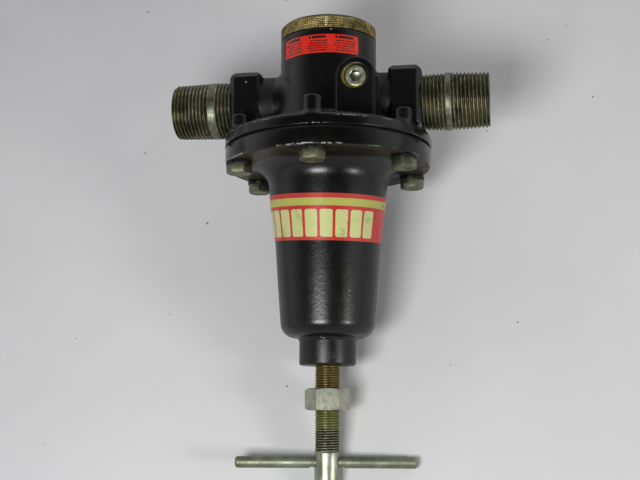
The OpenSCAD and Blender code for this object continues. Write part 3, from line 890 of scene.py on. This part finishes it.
def adjusting_screw():
    depth, ball_z, hole_r = 0.86, -128, BAR_R + 0.55
    start = SCREW_TIP - 1.2
    rows = arc(0, ball_z, 3.35, range(-90, -20, 10))
    rows += [(3.2, SCREW_TIP), (SCREW_R - 1.2, SCREW_TIP), (SCREW_R, start)]
    rows += [(SCREW_R, s) for s in np.arange(start, THREAD_END, -SCREW_PITCH / 10)[1:]]
    rows += rounded([(SCREW_R, THREAD_END), (SCREW_R, -203), (SCREW_R, SCREW_END + 1.4, 0.5),
                     (SCREW_R - 1.4, SCREW_END, 0.4), (0, SCREW_END)])
    shape = thread_shape(SCREW_PITCH, depth, THREAD_END, start, 1.6, 0)
    obj = mesh_piece("adjusting_screw_threaded", *turned(rows, 72, False, "Z", shape), sharp=40)
    hole = along_bar("hole", [(0, -12), (hole_r, -12), (hole_r, 12), (0, 12)], 96, lift=0.45)
    return carve(obj, [hole], sharp=40)


def t_bar():
    """Cross bar with chamfered ends, staked on both sides of the screw."""
    half, chamfer, stake_at, stake_reach = BAR_LENGTH / 2, 0.9, SCREW_R + 1.5, 1.1
    end = rounded([(0, half), (BAR_R - chamfer, half, 0.3), (BAR_R, half - chamfer, 0.4),
                   (BAR_R, half - 3)])
    middle = [(BAR_R, s) for s in np.arange(half - 3.5, -half + 3.1, -0.5)]
    rows = end + middle + [(r, -s) for r, s in reversed(end)]

    def stake(angle, r, s):
        near = sum(math.exp(-((s + BAR_SHIFT - at) / stake_reach) ** 2) for at in (-stake_at, stake_at))
        under = np.clip(-np.sin(angle), 0, 1) ** 3
        flank = np.abs(np.cos(angle)) ** 4
        return r * (1 - 0.26 * near * under + 0.05 * near * flank)

    return along_bar("t_bar_staked", rows, 64, stake)


finish_piece(adjusting_screw(), "screw", "zinc", screw_steel(), "adjusting_screw")
finish_piece(t_bar(), "screw", "bright_zinc", bar_zinc(), "t_bar")

# -------- labels


def sticker(name, columns, rows, surface, ink):
    """A thin sheet over a surface. surface(u, v) gives a point and its outward normal for u, v from 0
    to 1, and ink(u, v) the printed colour."""
    thickness = 0.14
    front, back, colors = [], [], []
    for v in np.linspace(0, 1, rows + 1):
        for u in np.linspace(0, 1, columns + 1):
            point, normal = surface(u, v)
            front.append(point + thickness * normal)
            back.append(point)
            colors.append((*ink(u, v), 1.0))
    width, total = columns + 1, len(front)
    faces = []
    for j in range(rows):
        for i in range(columns):
            a = j * width + i
            faces.append((a, a + 1, a + 1 + width, a + width))
            faces.append((total + a, total + a + width, total + a + 1 + width, total + a + 1))
    rim = [*range(width), *range(2 * width - 1, total, width),
           *range(total - 2, total - width - 1, -1), *range(total - 2 * width, 0, -width)]
    for a, b in zip(rim, rim[1:] + rim[:1]):
        faces.append((a, total + a, total + b, b))
    obj = mesh_piece(name, front + back, faces, sharp=60)
    layer = obj.data.color_attributes.new("print", "FLOAT_COLOR", "POINT")
    for i in range(len(obj.data.vertices)):
        layer.data[i].color = colors[i % total]
    return obj


def word_bars(seed, start, end):
    """Plain bars of word length that fill a line of print from start to end."""
    draw = random.Random(seed)
    bars = []
    while start < end - 0.5:
        length = min(draw.uniform(0.9, 2.6), end - start)
        bars.append((start, start + length))
        start += length + 0.32
    return bars


def body_sticker():
    """Red sticker with three blocks of plain bars."""
    first, last = -141.5, -44.0
    low_z, high_z = low("body_label")[2], high("body_label")[2]
    radius = BARREL_R + 0.02
    length, height = math.radians(last - first) * radius, high_z - low_z
    corner = 0.9
    red, dark = (0.74, 0.03, 0.014), (0.05, 0.01, 0.008)
    blocks = [(1.2, 14.0), (17.0, 29.6), (32.4, 45.8)]
    lines = [3.4, 4.9, 6.3, 7.7, 9.1]
    bars = []
    for b, (left, right) in enumerate(blocks):
        bars.append((0.75, 2.25, [(left + 1.0, left + 2.2), (left + 2.9, right - 1.6)]))
        for k, line in enumerate(lines):
            first_x = left + 0.6 * ((k * 7 + b * 3) % 4)
            last_x = right - 0.5 * ((k + b) % 3)
            bars.append((line, line + 0.62, word_bars(10 * b + k, first_x, last_x)))

    def surface(u, v):
        s, t = u * length, v * height
        past_s, past_t = corner - min(s, length - s), corner - min(t, height - t)
        over = math.hypot(past_s, past_t)
        if min(past_s, past_t) > 0 and over > corner:       # pull the corner in to a round
            s += past_s * (1 - corner / over) * (1 if s < length / 2 else -1)
            t += past_t * (1 - corner / over) * (1 if t < height / 2 else -1)
        a = math.radians(first) + s / radius
        normal = np.array([math.cos(a), math.sin(a), 0])
        return normal * radius + np.array([0, 0, high_z - t]), normal

    def ink(u, v):
        s, t = u * length, v * height
        for top, bottom, pieces in bars:
            if top <= t <= bottom and any(a <= s <= b for a, b in pieces):
                return dark
        return red

    sheet = sticker("body_sticker", 300, 68, surface, ink)
    paper = printed("red_sticker", 900, (0.3, 0.05, 0.03), 0.34, 0.5)
    finish_piece(sheet, "housing", "warning_red", paper, "body_label")


def bell_radius(z):
    return float(np.interp(z, *np.array(BELL[::-1]).T[::-1]))


def bonnet_sticker():
    """Band round the bell: red edge lines, a pale stripe and a row of plain pale tablets on red."""
    height, facing, first, last = 26.0, -80.5, -190.0, 3.0
    high_z = high("bonnet_label")[2]
    middle_r = bell_radius((high_z + low("bonnet_label")[2]) / 2)
    red, line, pale = (0.52, 0.036, 0.034), (0.5, 0.075, 0.025), (0.45, 0.46, 0.115)
    cream, dark = (0.54, 0.57, 0.26), (0.035, 0.035, 0.03)
    tablet, gap, corner, slope = 7.2, 1.5, 1.3, 0.115

    def along_band(a):
        return math.radians(a - facing) * middle_r

    last_tablet, end = along_band(-30.0), along_band(last)

    def surface(u, v):
        a = first + (last - first) * u
        if u > 0.985:                                # the torn end
            a += 1.1 * math.sin(v * 23) + 0.7 * math.sin(v * 61 + 1)
        s = along_band(a)
        z = high_z - 0.7 - v * height + min(s * s / 680, 3.6) - 0.014 * s
        direction = np.array(polar(a, 1))
        normal = direction * math.cos(slope) - np.array([0, 0, math.sin(slope)])
        return direction * (bell_radius(z) + 0.02) + np.array([0, 0, z]), normal

    def ink(u, v):
        s, t = along_band(first + (last - first) * u), v * height
        if t < 0.5 or t > height - 0.45:
            return line
        if 2.6 <= t <= 6.9:
            ticks = any(0 <= s - end + 9.5 - 1.5 * k <= 0.6 for k in range(4))
            return dark if ticks and 4.0 <= t <= 5.9 else pale
        if 8.9 <= t <= 24.2 and s < last_tablet:
            along = (last_tablet - s) % (tablet + gap)
            past_s = max(0, abs(along - tablet / 2) - tablet / 2 + corner)
            past_t = max(0, abs(t - 16.55) - 7.65 + corner)
            if math.hypot(past_s, past_t) < corner:
                return cream
        return red

    sheet = sticker("bonnet_sticker", 420, 104, surface, ink)
    paper = printed("bell_sticker", 700, (0.1, 0.07, 0.03), 0.32, 0.48)
    finish_piece(sheet, "housing", "label_red", paper, "bonnet_label")


body_sticker()
bonnet_sticker()

# -------- inner pieces


def spring(name, coil_r, wire, z0, z1, turns):
    """Helical compression spring with closed ends."""
    sides, count, closed = 12, int(turns * 40), 1 / turns
    points = []
    for i in range(count + 1):
        t = i / count
        run_in = min(t, 1 - t, closed) / closed
        open_share = min(max((t - closed) / (1 - 2 * closed), 0), 1)
        height = z0 + wire + 0.9 * wire * (run_in if t < 0.5 else 2 - run_in)
        height += (z1 - z0 - 2 * wire - 1.8 * wire) * open_share
        section = arc(coil_r, height, wire, range(0, 360, 360 // sides))
        points += [polar(360 * turns * t, r, z) for r, z in section]
    return mesh_piece(name, points, ring_faces(count + 1, sides) + end_faces(len(points), sides))


def bend_piece(obj, material, node):
    """Gives a piece its material in place of a CAD node and bakes its placement into its mesh."""
    dress(obj, material)
    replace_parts(obj, node)
    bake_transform(obj)


wire_steel = spring_wire()
plate_low = low("spring_plate")[2] + 2.4
button_high = high("spring_button")[2] - 4
bend_piece(spring("regulating_spring_coil", 17.4, 2.5, button_high, plate_low, 8.5),
           wire_steel, "regulating_spring")
bend_piece(spring("valve_spring_coil", 4.0, 0.6, 16, 40, 7),
           wire_steel, "valve_spring")


def diaphragm_sheet():
    """Rubber disc: flat clamped rim with bolt holes, and a sloping roll down to the plates."""
    rim_z, middle_z = -27.45, -29.65
    radii = [6.05, 12, 20, 28, 34, 36, 38, 40.5, 43, 45, 47, *np.arange(48.5, 58.4, 0.9), 58.4]
    columns = 180
    points = np.array([polar(360 * k / columns, r, np.interp(r, [36, 45], [middle_z, rim_z]))
                       for r in radii for k in range(columns)])
    centres = [np.array(polar(a, BOLT_CIRCLE)[:2]) for a in BOLT_ANGLES]
    hole = BOLT_R + 0.3
    for centre in centres:                           # points near a hole slide onto its edge
        away = points[:, :2] - centre
        far = np.linalg.norm(away, axis=1)
        near = (far > hole - 0.9) & (far < hole + 0.5)
        points[near, :2] = centre + away[near] / far[near][:, None] * hole
    faces = []
    for face in ring_faces(len(radii), columns):
        middle = points[list(face), :2].mean(0)
        if min(np.linalg.norm(middle - centre) for centre in centres) > hole - 0.3:
            faces.append(face)
    obj = mesh_piece("diaphragm_sheet", points, faces)
    thick = obj.modifiers.new("thickness", "SOLIDIFY")
    thick.thickness = 1.5 * MM
    thick.offset = 0
    return obj


black_rubber = rubber()
bend_piece(diaphragm_sheet(), black_rubber, "diaphragm")

brass = machined("turned_brass", (0.48, 0.33, 0.12), (0.7, 0.52, 0.24), 0.22, 0.38)
plate = machined("pressed_plate", (0.38, 0.38, 0.37), (0.58, 0.58, 0.55), 0.28, 0.45)
kept = ((brass, "valve_seat valve_poppet relief_stud"), (wire_steel, "thrust_ball"),
        (plate, "valve_stem diaphragm_plate spring_plate stud_nut spring_button"),
        (black_rubber, "plug_seal valve_disc poppet_seal"))
for material, nodes in kept:
    for node in nodes.split():
        dress(frame["nodes"][node], material)

# -------- table, lights and camera


def table():
    """Pale table under the flange's rim and the screw's end. It can't be seen from behind."""
    slope, touch_z, size = 0.3149, 217.2, 2500
    middle, right = Vector((0, SCREW_R + slope * touch_z, 0)), Vector((size, 0, 0))
    normal = Vector((0, -1, slope)).normalized()
    up = normal.cross(right)
    corners = [middle + right * a + up * b for a, b in ((-1, 1), (1, 1), (1, -1), (-1, -1))]
    obj = mesh_piece("table", corners, [(0, 1, 2, 3)])
    if obj.data.polygons[0].normal.dot(normal) < 0:
        obj.data.flip_normals()
    p = Paint("pale_table", Roughness=0.55)
    base = p.patches((0.87, 0.87, 0.875), (0.9, 0.9, 0.905), 0.3, 0.7, 14, 3)
    # Painted shade: the table grows darker towards low Z, the screw's end, where the lamps are near.
    base = p.mix(p.ramp(p.along("Z"), 0.16, -0.28, 0, 0.44), base, (0.4, 0.4, 0.41))
    specks = p.either([p.ramp(p.cells(30), 0.03, 0.018), p.ramp(p.cells(52), 0.042, 0.022)])
    specks = p.times(specks, p.spots(0.46, 0.56, 0.85, 60))
    p.set(Base_Color=p.mix(specks, base, (0.24, 0.2, 0.16)))
    p.bumps((p.noise(120), 0.05))
    behind = p.node("ShaderNodeNewGeometry", "Backfacing")
    clear = p.node("ShaderNodeBsdfTransparent")
    mixed = p.node("ShaderNodeMixShader", i0=behind, i1=p.shader.outputs[0], i2=clear)
    p.feed(p.tree.nodes["Material Output"].inputs[0], mixed)
    dress(obj, p.owner)


def area_light(name, position, width, height, power, color=(1, 1, 1)):
    """Upright soft lamp at a position in millimetres, aimed at the bell."""
    place_at = Vector(position) * MM
    data = bpy.data.lights.new(name, "AREA")
    data.shape = "RECTANGLE"
    data.size = width * MM
    data.size_y = height * MM
    data.energy = power
    data.color = color
    obj = linked(name, data)
    obj.location = place_at
    obj.rotation_euler = (Vector((0, 0, -80 * MM)) - place_at).to_track_quat("-Z", "Y").to_euler()


def camera():
    aim = Vector((-6.65, 11.77, -77.6)) * MM
    distance, azimuth, elevation, roll = 0.63204, 9.56, -9.3, 0.25
    a, e = math.radians(azimuth), math.radians(elevation)
    back = Vector((math.sin(a) * math.cos(e), -math.cos(a) * math.cos(e), math.sin(e)))
    data = bpy.data.cameras.new("camera")
    data.lens = 60.22
    data.clip_start = 0.01
    obj = linked("camera", data)
    turn = (-back).to_track_quat("-Z", "Y").to_matrix().to_4x4() @ spin(roll)
    obj.matrix_world = Matrix.Translation(aim + back * distance) @ turn
    bpy.context.scene.camera = obj


def world():
    """Pale room that is dimmer in front of the object, where the viewer stands."""
    p = Paint("soft_room", bpy.data.worlds, "Background", "Generated", Strength=1.0)
    p.set(Color=p.mix(p.ramp(p.along("Y"), -0.85, -0.12), (0.055, 0.055, 0.056), (0.79, 0.79, 0.805)))
    bpy.context.scene.world = p.owner


table()
world()
area_light("key_light", (-90, -540, -262), 230, 160, 2.1)
area_light("side_light", (545, -345, -270), 130, 120, 1.0, (1.0, 0.99, 0.95))
camera()
view = bpy.context.scene.view_settings
view.view_transform = "Standard"
view.gamma = 0.85
view.exposure = 0.17
